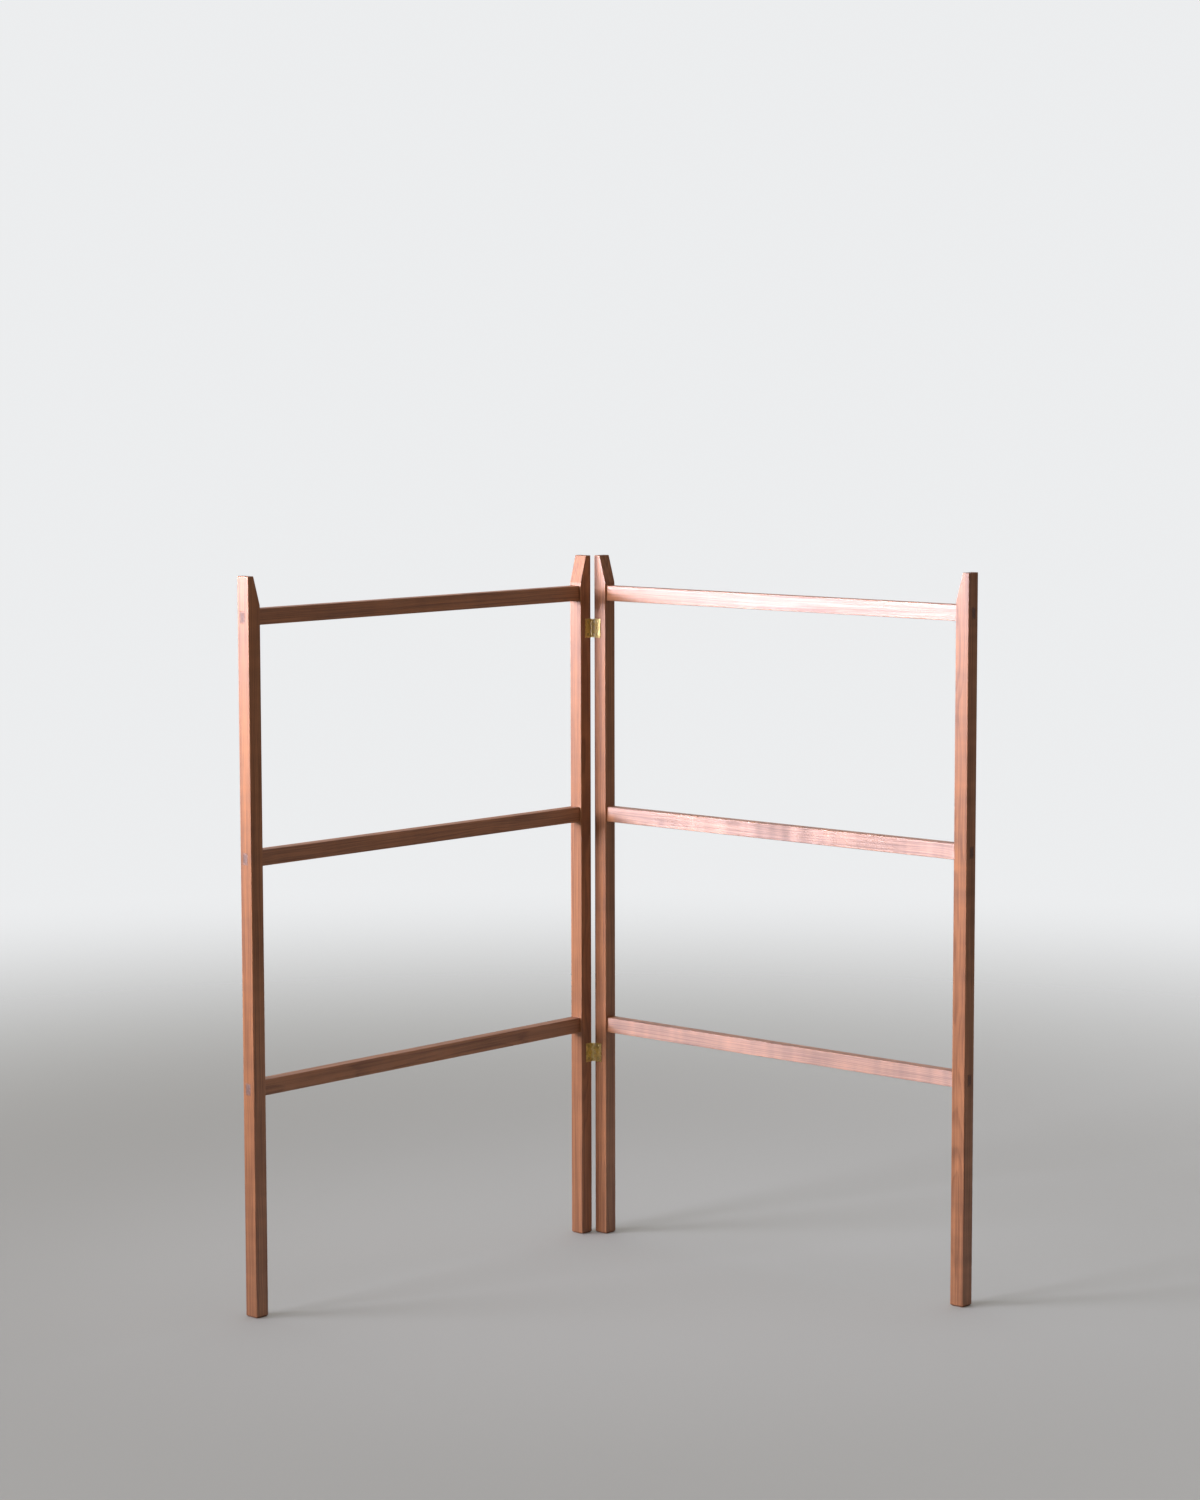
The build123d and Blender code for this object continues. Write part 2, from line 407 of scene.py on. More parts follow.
def make_brass_patina() -> None:
    """Makes brushed brass that has dulled in soft clouds, with painted shade where it is asked for."""
    group = EffectGroup(
        Effect.BRASS_PATINA,
        {
            "Position": "Vector",
            "Seed": "Float",
            "Bright": "Color",
            "Dull": "Color",
            "Dirt": "Color",
            "Grime": "Float",
            "Worn": "Float",
        },
        {"Color": "Color", "Roughness": "Float", "Metal": "Float", "Height": "Float"},
    )
    graph, take = group.graph, group.take
    here = graph.times(take["Position"], PER_MM)
    place = graph.vector("ADD", here, graph.times(BRASS_SEED_SHIFT, take["Seed"]))
    cloud = graph.step(graph.noise(graph.times(place, 0.16), 3.0, 0.55), 0.34, 0.68)
    spot = graph.step(graph.noise(graph.times(place, 0.9), 2.0, 0.6), 0.56, 0.72)
    brushed = graph.swing(graph.noise(graph.scaled(place, (7.0, 7.0, 0.35)), 2.0, 0.6), 2.0)
    dulled = graph.plus(graph.math("MULTIPLY", cloud, 0.7), spot, 0.25)
    dulled = graph.plus(dulled, brushed, 0.2, clamp=True)
    # Edges turn bright: partly real rubbing, partly a painted highlight along every edge
    dulled = graph.plus(dulled, take["Worn"], -0.8, clamp=True)
    colour = graph.mix(dulled, take["Bright"], take["Dull"])
    # Painted shade: darker, rougher and less metallic wherever the screw shade mask asks for it
    colour = graph.mix(take["Grime"], colour, take["Dirt"])
    rough = graph.plus(graph.math("MULTIPLY_ADD", dulled, 0.14, 0.27), brushed, 0.05)
    rough = graph.plus(rough, take["Grime"], 0.3)
    metal = graph.math("MULTIPLY_ADD", take["Grime"], -0.7, 1.0)
    group.give(Color=colour, Roughness=rough, Metal=metal, Height=brushed)


@dataclass(frozen=True)
class HingeSizes:
    """Sizes that the hinge's leaves and screws share.

    Attributes:
        centres: Heights of the hinges' middles.
        leaf_width: From the hinge axis to the leaf's outer edge.
        leaf_height: Height of a leaf.
        leaf_face: Depth of the leaf's face behind the hinge axis.
        leaf_thickness: Thickness of a leaf.
        screw_offset: From the hinge axis to the screws.
        screw_spacing: Between the two screws of a leaf.
    """

    centres: dict[str, float] = field(default_factory=lambda: {"upper": 805 * MM, "lower": 243 * MM})
    leaf_width: float = 12.5 * MM
    leaf_height: float = 25.0 * MM
    leaf_face: float = 1.0 * MM
    leaf_thickness: float = 1.0 * MM
    screw_offset: float = 7.3 * MM
    screw_spacing: float = 16.0 * MM

    @property
    def screw_x(self) -> float:
        """The screws' place across the leaf from its middle."""
        return self.screw_offset - self.leaf_width / 2


def make_screw_shade(sizes: HingeSizes, head_radius: float) -> None:
    """Makes the painted shade in the screws' recesses and in a ring round their heads, read in the
    leaf's own frame.

    Args:
        sizes: The hinge's sizes.
        head_radius: Radius of a screw's head.
    """
    rim_shade = (0.03 * MM, 0.4 * MM)  # off the head's rim, where the painted shade is full and gone
    recess_shade = (1.1 * MM, 1.45 * MM)  # the same off the screw's middle
    recess_depth = (-0.22 * MM, 0.2 * MM)  # below the leaf's face, where the recess turns to painted shade
    # Painted shade: the screw recesses and a ring round each head are darkened where shade would fall
    group = EffectGroup(Effect.SCREW_SHADE, {"Position": "Vector"}, {"Grime": "Float"})
    graph = group.graph
    x, y, z = graph.parts(group.take["Position"])
    off_x = graph.math("SUBTRACT", x, sizes.screw_x)
    off_z = graph.math("SUBTRACT", graph.math("ABSOLUTE", z), sizes.screw_spacing / 2)
    reach = graph.length(graph.add("CombineXYZ", {0: off_x, 1: off_z}).outputs[0])
    off_rim = graph.math("ABSOLUTE", graph.math("SUBTRACT", reach, head_radius))
    rim = graph.falling(off_rim, *rim_shade)
    depth = graph.math("ADD", y, sizes.leaf_thickness / 2)
    sunk = graph.step(depth, *recess_depth)
    inside = graph.falling(reach, *recess_shade)
    recess = graph.math("MULTIPLY", sunk, inside)
    group.give(Grime=graph.math("MAXIMUM", graph.math("MULTIPLY", rim, 0.75), recess))


@dataclass(frozen=True)
class Lie:
    """Where a box-shaped piece lies, with its own axes: x across, y inwards, z along.

    Attributes:
        centre: Its middle.
        across: Its x axis.
        inwards: Its y axis.
        grain: Its z axis.
        half: Half of its size along each axis.
    """

    centre: Vector
    across: Vector
    inwards: Vector
    grain: Vector
    half: tuple[float, float, float]

    def rotation(self) -> Matrix:
        """The turn from the piece's own axes to the rack's."""
        return Matrix((self.across, self.inwards, self.grain)).transposed()

    def matrix(self) -> Matrix:
        """The move and turn from the piece's own frame to the rack's."""
        return Matrix.Translation(self.centre) @ self.rotation().to_4x4()

    def fibre_way(self) -> Vector:
        """The way of the fibres, a touch askew so that it never points straight out of a cut end."""
        return (self.rotation() @ Vector(FIBRE_ASKEW)).normalized()

    def read(self, graph: Graph, output: str) -> Socket:
        """Reads a texture coordinate in the piece's own frame.

        Args:
            graph: The material's graph.
            output: The Texture Coordinate output, Object for places or Normal for directions.

        Returns:
            The coordinate.
        """
        mapping = graph.add("Mapping", vector_type="TEXTURE")
        graph.put(mapping.inputs["Vector"], graph.add("TexCoord").outputs[output])
        graph.put(mapping.inputs["Rotation"], self.rotation().to_euler())
        if output == "Object":
            graph.put(mapping.inputs["Location"], self.centre)
        return mapping.outputs[0]


def new_material(name: str) -> tuple[bpy.types.Material, Graph, bpy.types.Node]:
    """Makes a material with a Principled shader.

    Args:
        name: Its name.

    Returns:
        The material, its graph and its shader.
    """
    material = bpy.data.materials.new(name)
    material.use_nodes = True
    return material, Graph(material.node_tree), material.node_tree.nodes["Principled BSDF"]


@dataclass(frozen=True)
class OiledWood:
    """Oiled reddish-brown cherry, whose fibres draw the sheen out across the grain.

    Attributes:
        early: Colour of the wood grown early in the year.
        late: Colour of the darker late wood.
        end_tone: Colour of open end grain and pores.
        gloss: Specular level of the oiled surface.
        sheen_stretch: How much the fibres stretch the sheen.
        sheen_turn: Which way it is stretched from the fibres; a quarter turn is straight across.
        wear_reach: How far in from an edge the wear goes.
        worn_tone: How much lighter a worn edge gets, as a share of the early wood.
        worn_polish: How much roughness the handling takes off a worn edge.
        relief: Depth of the fibres and pores, and how much of it shows.
    """

    early: Colour = (0.385, 0.156, 0.064, 1.0)
    late: Colour = (0.205, 0.074, 0.027, 1.0)
    end_tone: Colour = (0.080, 0.030, 0.017, 1.0)
    gloss: float = 0.94
    sheen_stretch: float = 0.80
    sheen_turn: float = 0.25
    wear_reach: float = 1.6 * MM
    worn_tone: float = 0.35
    worn_polish: float = 0.08
    relief: tuple[float, float] = (0.12 * MM, 0.35)

    def material(
        self, name: str, lie: Lie, timber: "Timber", end_half: tuple[float, float], seed: float
    ) -> bpy.types.Material:
        """Builds the finish for one piece.

        Args:
            name: The piece's name.
            lie: Where the piece lies.
            timber: How the piece was chosen.
            end_half: Half of its end grain's width and depth.
            seed: Which stretch of the tree it came from.

        Returns:
            The material.
        """
        material, graph, shader = new_material(f"oiled_{name}")
        place = lie.read(graph, "Object")
        grain = graph.use(
            Effect.WOOD_GRAIN,
            {
                "Position": place,
                "Facing": lie.read(graph, "Normal"),
                "Heart": (*timber.cut.value, 0.0),
                "End size": (*end_half, 1.0),
                "Seed": seed,
                "Ripple": timber.ripple,
                "Early": self.early,
                "Late": self.late,
                "End tone": self.end_tone,
            },
        ).outputs
        wear = {"Position": place, "Half": lie.half, "Reach": self.wear_reach, "Seed": seed}
        worn = graph.use(Effect.EDGE_WEAR, wear).outputs["Worn"]
        lightened = graph.math("MULTIPLY", worn, self.worn_tone)
        graph.put(shader.inputs["Base Color"], graph.mix(lightened, grain["Color"], self.early))
        graph.put(shader.inputs["Roughness"], graph.plus(grain["Roughness"], worn, -self.worn_polish))
        graph.put(shader.inputs["Normal"], graph.relief(grain["Height"], *self.relief))
        spaces = {"convert_from": "OBJECT", "convert_to": "WORLD"}
        fibres = graph.add("VectorTransform", {0: lie.fibre_way()}, **spaces)
        graph.put(shader.inputs["Tangent"], fibres.outputs[0])
        shader.inputs["Anisotropic"].default_value = self.sheen_stretch
        shader.inputs["Anisotropic Rotation"].default_value = self.sheen_turn
        shader.inputs["Specular IOR Level"].default_value = self.gloss
        return material


@dataclass(frozen=True)
class SatinBrass:
    """Unlacquered brass that has dulled a little.

    Attributes:
        bright: Colour where it is rubbed, which along the edges also stands in for a painted highlight.
        dull: Colour where it has tarnished.
        dirt: Colour of the painted shade in the screws' recesses and round their heads.
        wear_reach: How far in from an edge the wear and the painted edge highlight go.
        relief: Depth of the brush marks, and how much of it shows.
    """

    bright: Colour = (0.88, 0.69, 0.30, 1.0)
    dull: Colour = (0.45, 0.345, 0.13, 1.0)
    dirt: Colour = (0.045, 0.030, 0.012, 1.0)
    wear_reach: float = 0.9 * MM
    relief: tuple[float, float] = (0.03 * MM, 0.3)

    def material(
        self, name: str, lie: Lie | None, seed: float, screwed: bool, rubbed_and_highlit_edges: bool
    ) -> bpy.types.Material:
        """Builds the finish for one piece.

        Args:
            name: The piece's name.
            lie: Where the piece lies, or None if its texture is read in its object's frame.
            seed: Which patch of tarnish it shows.
            screwed: Whether it shows the painted shade in and round the leaf's screws.
            rubbed_and_highlit_edges: Whether its edges are brightened, partly as real rubbing and partly
                as a painted highlight.

        Returns:
            The material.
        """
        material, graph, shader = new_material(f"brass_{name}")
        place = lie.read(graph, "Object") if lie else graph.add("TexCoord").outputs["Object"]
        painted_shade: Value = 0.0
        worn: Value = 0.0
        # Painted shade in the screw recesses and round the screw heads
        if screwed:
            painted_shade = graph.use(Effect.SCREW_SHADE, {"Position": place}).outputs["Grime"]
        # Brightened edges: partly real wear, partly a painted highlight
        if rubbed_and_highlit_edges:
            wear = {"Position": place, "Half": lie.half, "Reach": self.wear_reach, "Seed": seed}
            worn = graph.use(Effect.EDGE_WEAR, wear).outputs["Worn"]
        patina = graph.use(
            Effect.BRASS_PATINA,
            {
                "Position": place,
                "Seed": seed,
                "Bright": self.bright,
                "Dull": self.dull,
                "Dirt": self.dirt,
                "Grime": painted_shade,
                "Worn": worn,
            },
        ).outputs
        graph.put(shader.inputs["Base Color"], patina["Color"])
        graph.put(shader.inputs["Roughness"], patina["Roughness"])
        graph.put(shader.inputs["Metallic"], patina["Metal"])
        graph.put(shader.inputs["Normal"], graph.relief(patina["Height"], *self.relief))
        return material


@dataclass(frozen=True)
class Timber:
    """How one wooden piece of a panel was chosen.

    Attributes:
        piece: Its name without the panel's side.
        cut: How it was sawn.
        ripple: How strongly its ripple figure shows.
    """

    piece: str
    cut: Cut
    ripple: float


@dataclass
class Panel:
    """One ladder-like panel: two posts and three rails.

    Attributes:
        side: Which panel it is.
        timbers: Its pieces.
        post_side: Side of a post's square section.
        post_height: Height of a post.
        rail_height: Height of a rail.
        rail_thickness: Thickness of a rail.
        rail_length: Length of a rail over its tenons.
        tenon_half: Half of a tenon's height and thickness.
        piece_seed: How far apart the seeds of two pieces are.
        side_seed: How far apart the seeds of the two panels are, for one step of the side's value.
        wood: The finish.
    """

    side: Side
    timbers: tuple[Timber, ...]
    post_side: float = 19.0 * MM
    post_height: float = 900.0 * MM
    rail_height: float = 19.5 * MM
    rail_thickness: float = 15.0 * MM
    rail_length: float = 600.0 * MM
    tenon_half: tuple[float, float] = (7.5 * MM, 4.25 * MM)
    piece_seed: float = 3.7
    side_seed: float = 11.3
    wood: OiledWood = field(default_factory=OiledWood)

    def lie(self, name: str, upright: bool) -> Lie:
        """Finds where a piece lies.

        Args:
            name: Its CAD node.
            upright: Whether it stands upright, as a post does.

        Returns:
            Its lie, with the fibres along z.
        """
        low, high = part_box(name)
        inwards = self.side.inwards
        up = Vector((0.0, 0.0, 1.0))
        if upright:
            half = (self.post_side / 2, self.post_side / 2, self.post_height / 2)
            return Lie((low + high) / 2, inwards.cross(up), inwards, up, half)
        half = (self.rail_height / 2, self.rail_thickness / 2, self.rail_length / 2)
        return Lie((low + high) / 2, up, inwards, up.cross(inwards), half)

    def dress(self) -> Iterator[str]:
        """Gives every piece its own stretch of grain.

        Returns:
            The names of the dressed CAD nodes.
        """
        for number, timber in enumerate(self.timbers):
            name = f"{self.side.label}_{timber.piece}"
            upright = timber.piece.endswith("post")
            end_half = (self.post_side / 2, self.post_side / 2) if upright else self.tenon_half
            seed = self.piece_seed * number + self.side_seed * (2 + self.side.value)
            material = self.wood.material(name, self.lie(name, upright), timber, end_half, seed)
            frame["nodes"][name].material_slots[0].material = material
            yield name


@dataclass
class Screw:
    """A countersunk brass wood screw with a raised head, a cross recess and a thread.

    It is modelled with its head's rim at y = 0 and its point towards +Y.

    Attributes:
        head_radius: Radius of the head's rim.
        rim_round: How much the rim's rounded edges take off its radius, above and below.
        rim_depth: Where the rim's flat starts and ends.
        dome: How far the head rises in its middle.
        cone: Depth of the countersunk part.
        shank_radius: Radius at the thread's crests.
        root_radius: Radius at the thread's roots.
        length: Rim to point.
        point: Length of the point.
        pitch: Rise of the thread in one turn.
        recess_half: Half length of the recess at the top and at its floor.
        recess_width: Half width of the recess at the top and at its floor.
        recess_depth: Depth of its floor below the rim.
        recess_overcut: How far the cut starts above the dome.
        segments: Facets round the screw.
        dome_rings: Rings of the dome.
        thread_rings: Rings of the thread.
    """

    head_radius: float = 1.84 * MM
    rim_round: tuple[float, float] = (0.06 * MM, 0.05 * MM)
    rim_depth: tuple[float, float] = (0.05 * MM, 0.14 * MM)
    dome: float = 0.42 * MM
    cone: float = 0.86 * MM
    shank_radius: float = 0.97 * MM
    root_radius: float = 0.72 * MM
    length: float = 9.8 * MM
    point: float = 2.5 * MM
    pitch: float = 0.9 * MM
    recess_half: tuple[float, float] = (1.12 * MM, 0.45 * MM)
    recess_width: tuple[float, float] = (0.30 * MM, 0.20 * MM)
    recess_depth: float = 0.55 * MM
    recess_overcut: float = 0.3 * MM
    segments: int = 40
    dome_rings: int = 9
    thread_rings: int = 44

    def profile(self) -> Iterator[tuple[float, float, float]]:
        """Runs down the screw from the head's middle to its point.

        Returns:
            Rings as (radius at a crest, radius at a root, y).
        """
        for n in range(1, self.dome_rings + 1):
            share = n / self.dome_rings
            radius = share * (self.head_radius - self.rim_round[0])
            yield radius, radius, -self.dome * (1.0 - share**2)
        under_rim = self.head_radius - self.rim_round[1]
        yield self.head_radius, self.head_radius, self.rim_depth[0]
        yield under_rim, under_rim, self.rim_depth[1]
        yield self.shank_radius, self.shank_radius, self.cone
        for n in range(1, self.thread_rings):
            y = self.cone + (self.length - self.cone) * n / self.thread_rings
            taper = min(1.0, (self.length - y) / self.point)
            yield self.shank_radius * taper, self.root_radius * taper, y

    def blank(self) -> bpy.types.Mesh:
        """Turns the profile into a closed mesh, with the thread but without the recess.

        Returns:
            The mesh.
        """
        work = bmesh.new()
        top = work.verts.new((0.0, -self.dome, 0.0))
        loops = []
        for crest, root, y in self.profile():
            loop = []
            for n in range(self.segments):
                angle = math.tau * n / self.segments
                lift = (0.5 + 0.5 * math.cos(angle - math.tau * y / self.pitch)) ** 3
                radius = root + (crest - root) * lift
                loop.append(work.verts.new((radius * math.cos(angle), y, radius * math.sin(angle))))
            loops.append(loop)
        tip = work.verts.new((0.0, self.length, 0.0))
        for n in range(self.segments):
            after = (n + 1) % self.segments
            work.faces.new((top, loops[0][n], loops[0][after]))
            for upper, lower in zip(loops, loops[1:]):
                work.faces.new((upper[n], lower[n], lower[after], upper[after]))
            work.faces.new((loops[-1][n], tip, loops[-1][after]))
        bmesh.ops.recalc_face_normals(work, faces=work.faces)
        return self.keep(work, "screw_blank")

    def recess_arm(self, turned: bool) -> bpy.types.Mesh:
        """Makes one tapered arm of the cross that the driver fits.

        Args:
            turned: Whether it is the second arm, square to the first.

        Returns:
            The arm's closed mesh.
        """
        work = bmesh.new()
        corners = ((-1, -1), (1, -1), (1, 1), (-1, 1))
        heights = (-self.dome - self.recess_overcut, self.recess_depth)
        rings = []
        for y, long_half, short_half in zip(heights, self.recess_half, self.recess_width):
            x, z = (short_half, long_half) if turned else (long_half, short_half)
            rings.append([work.verts.new((sx * x, y, sz * z)) for sx, sz in corners])
        work.faces.new(rings[0])
        work.faces.new(rings[1])
        for n in range(4):
            after = (n + 1) % 4
            work.faces.new((rings[0][n], rings[0][after], rings[1][after], rings[1][n]))
        bmesh.ops.recalc_face_normals(work, faces=work.faces)
        return self.keep(work, "recess_arm")

    @staticmethod
    def keep(work: bmesh.types.BMesh, name: str) -> bpy.types.Mesh:
        """Turns a working mesh into a stored one.

        Args:
            work: The working mesh, which is freed.
            name: The stored mesh's name.

        Returns:
            The stored mesh.
        """
        mesh = bpy.data.meshes.new(name)
        work.to_mesh(mesh)
        work.free()
        return mesh

    def mesh(self) -> bpy.types.Mesh:
        """Builds the finished screw.

        Returns:
            Its mesh, with the cross cut out of the head.
        """
        scene = bpy.context.scene
        screw = bpy.data.objects.new("screw_blank", self.blank())
        scene.collection.objects.link(screw)
        arms = []
        for turned in (False, True):
            arm = bpy.data.objects.new("recess_arm", self.recess_arm(turned))
            scene.collection.objects.link(arm)
            cut = screw.modifiers.new("recess", "BOOLEAN")
            cut.object = arm
            cut.operation = "DIFFERENCE"
            cut.solver = "EXACT"
            arms.append(arm)
        bpy.context.view_layer.update()
        solved = screw.evaluated_get(bpy.context.evaluated_depsgraph_get())
        finished = bpy.data.meshes.new_from_object(solved)
        for spare in (screw, *arms):
            mesh = spare.data
            bpy.data.objects.remove(spare)
            bpy.data.meshes.remove(mesh)
        return finished


@dataclass
class Hinges:
    """Both brass hinges: leaves, pins and screws.

    Attributes:
        sizes: The sizes that leaves and screws share.
        screw: The screw.
        driven: How far each leaf's two screws were turned when they came tight, in degrees.
        crease: The angle, in degrees, from which the screws' edges stay sharp.
        screw_seed: The screws' tarnish.
        pin_seed: The upper pin's tarnish; the lower pin's is one more.
        brass: The finish.
    """

    sizes: HingeSizes = field(default_factory=HingeSizes)
    screw: Screw = field(default_factory=Screw)
    driven: dict[str, tuple[float, float]] = field(
        default_factory=lambda: {
            "left_upper": (18.0, 63.0),
            "left_lower": (41.0, 7.0),
            "right_upper": (52.0, 28.0),
            "right_lower": (10.0, 75.0),
        }
    )
    crease: float = 38.0
    screw_seed: float = 4.0
    pin_seed: float = 9.0
    brass: SatinBrass = field(default_factory=SatinBrass)

    def leaf_lie(self, side: Side, place: str) -> Lie:
        """Finds where a leaf lies.

        Args:
            side: The leaf's panel.
            place: Which hinge it belongs to.

        Returns:
            Its lie, with x along the panel, away from the hinge axis for the right leaf.
        """
        sizes = self.sizes
        axis_x, axis_y, _ = frame["joints"][0]["pos_m"]
        depth = sizes.leaf_face + sizes.leaf_thickness / 2
        axis = Vector((axis_x, axis_y, sizes.centres[place]))
        centre = axis + side.along * (sizes.leaf_width / 2) + side.inwards * depth
        half = (sizes.leaf_width / 2, sizes.leaf_thickness / 2, sizes.leaf_height / 2)
        return Lie(centre, side.along, side.inwards, side.along.cross(side.inwards), half)

    def build(self) -> Iterator[str]:
        """Builds the screws and dresses the leaves and pins.

        Returns:
            The names of the finished pieces.
        """
        # The mask of painted shade in and round the screw heads
        make_screw_shade(self.sizes, self.screw.head_radius)
        pattern = self.screw.mesh()
        seed = self.screw_seed
        screw_brass = self.brass.material("screws", None, seed, screwed=True, rubbed_and_highlit_edges=False)
        for number, place in enumerate(self.sizes.centres):
            for side in Side:
                lie = self.leaf_lie(side, place)
                leaf = f"{side.label}_{place}_hinge_leaf"
                seed = 2.0 * number + side.value
                dress = self.brass.material(leaf, lie, seed, screwed=True, rubbed_and_highlit_edges=True)
                frame["nodes"][leaf].material_slots[0].material = dress
                yield leaf
                yield self.place_screws(side, place, pattern, screw_brass)
            pin = f"{place}_hinge_pin"
            seed = self.pin_seed + number
            dress = self.brass.material(pin, None, seed, screwed=False, rubbed_and_highlit_edges=False)
            frame["nodes"][pin].material_slots[0].material = dress
            yield pin

    def place_screws(
        self, side: Side, place: str, pattern: bpy.types.Mesh, finish: bpy.types.Material
    ) -> str:
        """Sets both screws of one leaf.

        Args:
            side: The leaf's panel.
            place: Which hinge it is.
            pattern: The screw's mesh.
            finish: Its material.

        Returns:
            The new piece's name.
        """
        sizes = self.sizes
        work = bmesh.new()
        for end, degrees in zip((-1, 1), self.driven[f"{side.label}_{place}"]):
            fresh = len(work.verts)
            work.from_mesh(pattern)
            work.verts.ensure_lookup_table()
            middle = (sizes.screw_x, -sizes.leaf_thickness / 2, end * sizes.screw_spacing / 2)
            move = Matrix.Translation(middle) @ Matrix.Rotation(math.radians(degrees), 4, "Y")
            bmesh.ops.transform(work, matrix=move, verts=work.verts[fresh:])
        mesh = Screw.keep(work, f"{side.label}_{place}_screws")
        mesh.shade_smooth()
        mesh.set_sharp_from_angle(angle=math.radians(self.crease))
        mesh.materials.append(finish)
        screws = bpy.data.objects.new(mesh.name, mesh)
        bpy.context.scene.collection.objects.link(screws)
        screws.matrix_world = self.leaf_lie(side, place).matrix()
        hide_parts(f"{side.label}_{place}_leaf_screws")
        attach(screws, side.body)
        return screws.name


@dataclass(frozen=True)
class SoftLight:
    """One soft rectangular light.

    Attributes:
        name: Its name.
        place: Where it stands.
        aim: The point that it faces.
        size: Its width and height.
        power: Its power in watts.
        spread: How wide its light fans out, in degrees.
        tone: Its colour.
    """

    name: str
    place: tuple[float, float, float]
    aim: tuple[float, float, float]
    size: tuple[float, float]
    power: float
    spread: float
    tone: tuple[float, float, float] = (1.0, 0.995, 1.18)

    def hang(self) -> None:
        """Adds the light to the scene."""
        light = bpy.data.lights.new(self.name, "AREA")
        light.shape = "RECTANGLE"
        light.size, light.size_y = self.size
        light.energy = self.power
        light.spread = math.radians(self.spread)
        light.color = self.tone
        lamp = bpy.data.objects.new(self.name, light)
        lamp.location = self.place
        lamp.rotation_euler = (Vector(self.aim) - Vector(self.place)).to_track_quat("-Z", "Y").to_euler()
        bpy.context.scene.collection.objects.link(lamp)


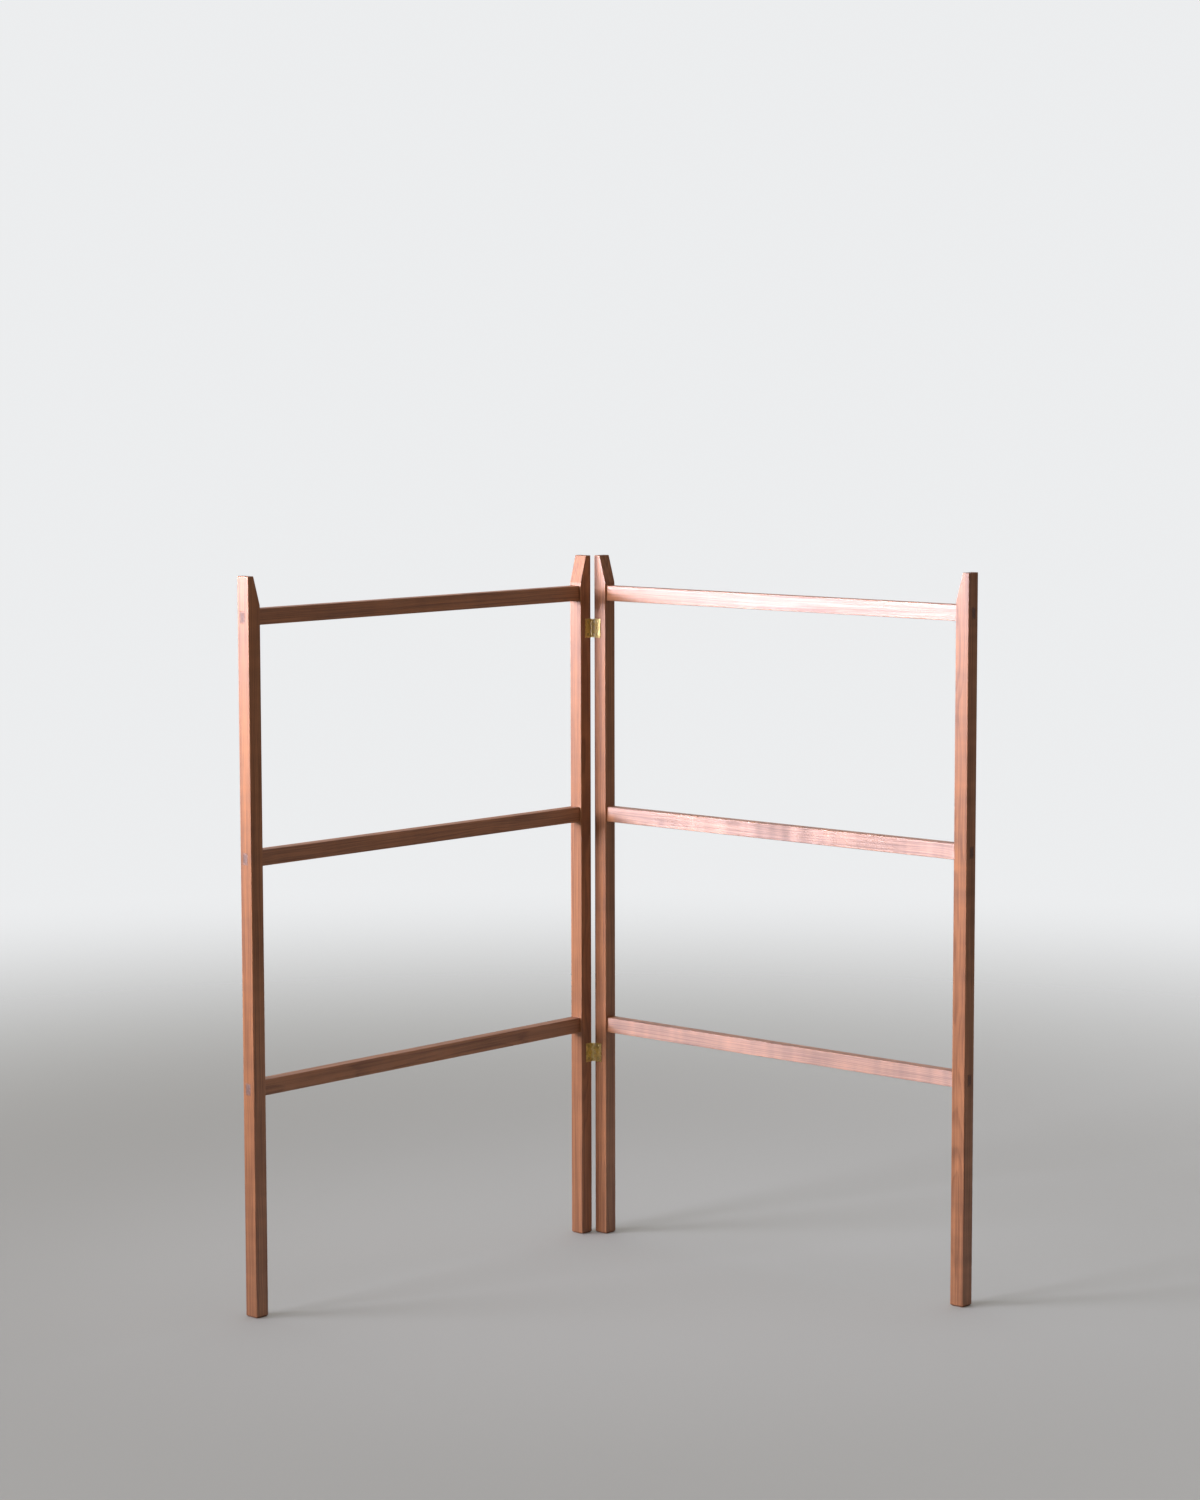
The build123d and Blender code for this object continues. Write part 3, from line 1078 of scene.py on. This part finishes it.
@dataclass
class Studio:
    """The floor, the lights and the camera.

    Attributes:
        floor_size: Length of the floor's sides.
        floor_tone: Colour of the floor.
        floor_roughness: How matt the floor is.
        floor_gloss: Specular level of the floor.
        floor_fade: Where the floor starts and ends fading into the surround.
        backdrop_tone: The pale surround that the camera sees beyond the floor.
        fill_tone: Light from the shaded room in front and to the sides.
        wall_tone: Light from the pale room behind.
        wall_turn: Where the fill turns into the wall's light, as the way's part along Y.
        windows: The lights.
        camera_place: Where the camera stands.
        camera_turn: Its pitch, roll and yaw, in degrees.
        camera_lens: Its focal length in mm.
        camera_sensor: Width of its sensor in mm.
    """

    floor_size: float = 14.0
    floor_tone: Colour = (0.515, 0.532, 0.486, 1.0)
    floor_roughness: float = 0.85
    floor_gloss: float = 0.15
    floor_fade: tuple[float, float] = (0.7, 3.4)
    backdrop_tone: Colour = (0.84, 0.85, 0.86, 1.0)
    fill_tone: Colour = (0.150, 0.103, 0.064, 1.0)
    wall_tone: Colour = (0.62, 0.61, 0.60, 1.0)
    wall_turn: tuple[float, float] = (0.05, 0.5)
    windows: tuple[SoftLight, ...] = (
        SoftLight("window", (-4.5, -0.62, 1.45), (0.0, 0.0, 1.52), (1.9, 0.9), 38.0, 50.0),
        SoftLight("high_window", (-4.0, -0.5, 3.2), (0.0, 0.0, 0.95), (3.2, 2.0), 4.5, 70.0),
        SoftLight("side_window", (-3.75, -2.4, 1.6), (0.0, 0.0, 1.62), (1.3, 1.0), 26.0, 50.0),
        SoftLight("skylight", (0.3, -0.2, 3.6), (0.0, -0.2, 0.0), (3.5, 3.5), 20.0, 120.0),
    )
    camera_place: tuple[float, float, float] = (-0.2448, -4.6282, 1.1686)
    camera_turn: tuple[float, float, float] = (83.818, 0.109, -3.025)
    camera_lens: float = 89.06
    camera_sensor: float = 36.0

    def lay_floor(self) -> None:
        """Lays the pale floor, which fades into the surround."""
        half = self.floor_size / 2
        mesh = bpy.data.meshes.new("studio_floor")
        corners = [(-half, -half, 0.0), (half, -half, 0.0), (half, half, 0.0), (-half, half, 0.0)]
        mesh.from_pydata(corners, [], [(0, 1, 2, 3)])
        material, graph, shader = new_material("pale_floor")
        shader.inputs["Base Color"].default_value = self.floor_tone
        shader.inputs["Roughness"].default_value = self.floor_roughness
        shader.inputs["Specular IOR Level"].default_value = self.floor_gloss
        reach = graph.length(graph.add("TexCoord").outputs["Object"])
        fade = graph.add("MixShader", {0: graph.step(reach, *self.floor_fade)})
        graph.put(fade.inputs[1], shader.outputs[0])
        graph.put(fade.inputs[2], graph.add("BsdfTransparent").outputs[0])
        graph.put(material.node_tree.nodes["Material Output"].inputs["Surface"], fade.outputs[0])
        mesh.materials.append(material)
        floor = bpy.data.objects.new("studio_floor", mesh)
        bpy.context.scene.collection.objects.link(floor)

    def light_room(self) -> None:
        """Lights the room: pale behind the rack, dimmer elsewhere, with the windows on the left."""
        world = bpy.data.worlds.new("studio")
        world.use_nodes = True
        graph = Graph(world.node_tree)
        seen = world.node_tree.nodes["Background"]
        seen.inputs["Color"].default_value = self.backdrop_tone
        way = graph.parts(graph.add("TexCoord").outputs["Generated"])
        room_tone = graph.mix(graph.step(way[1], *self.wall_turn), self.fill_tone, self.wall_tone)
        room = graph.add("Background", {"Color": room_tone})
        both = graph.add("MixShader", {0: graph.add("LightPath").outputs["Is Camera Ray"]})
        graph.put(both.inputs[1], room.outputs[0])
        graph.put(both.inputs[2], seen.outputs[0])
        graph.put(world.node_tree.nodes["World Output"].inputs["Surface"], both.outputs[0])
        bpy.context.scene.world = world
        for window in self.windows:
            window.hang()

    def stand_camera(self) -> None:
        """Stands the camera before the open side, a little to the left and above the rack."""
        data = bpy.data.cameras.new("camera")
        data.sensor_width = self.camera_sensor
        data.lens = self.camera_lens
        camera = bpy.data.objects.new("camera", data)
        camera.location = self.camera_place
        camera.rotation_euler = [math.radians(angle) for angle in self.camera_turn]
        bpy.context.scene.collection.objects.link(camera)
        bpy.context.scene.camera = camera


def main() -> None:
    """Dresses the rack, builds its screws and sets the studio."""
    logging.basicConfig(level=logging.INFO, format="%(message)s")
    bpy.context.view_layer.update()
    make_wood_grain(GrainSizes())
    make_edge_wear()
    make_brass_patina()
    left = Panel(
        Side.LEFT,
        (
            Timber("outer_post", Cut.RIFT, 0.30),
            Timber("hinge_post", Cut.FLAT, 0.25),
            Timber("top_rail", Cut.QUARTER, 0.15),
            Timber("middle_rail", Cut.RIFT, 0.20),
            Timber("bottom_rail", Cut.FLAT, 0.10),
        ),
    )
    right = Panel(
        Side.RIGHT,
        (
            Timber("outer_post", Cut.FLAT, 0.50),
            Timber("hinge_post", Cut.RIFT, 0.25),
            Timber("top_rail", Cut.QUARTER, 0.10),
            Timber("middle_rail", Cut.RIFT, 0.80),
            Timber("bottom_rail", Cut.QUARTER, 0.60),
        ),
    )
    for panel in (left, right):
        for name in panel.dress():
            LOG.info("dressed %s", name)
    for name in Hinges().build():
        LOG.info("finished %s", name)
    studio = Studio()
    studio.lay_floor()
    studio.light_room()
    studio.stand_camera()
    bpy.context.scene.view_settings.view_transform = "Standard"


if __name__ == "__main__":
    main()
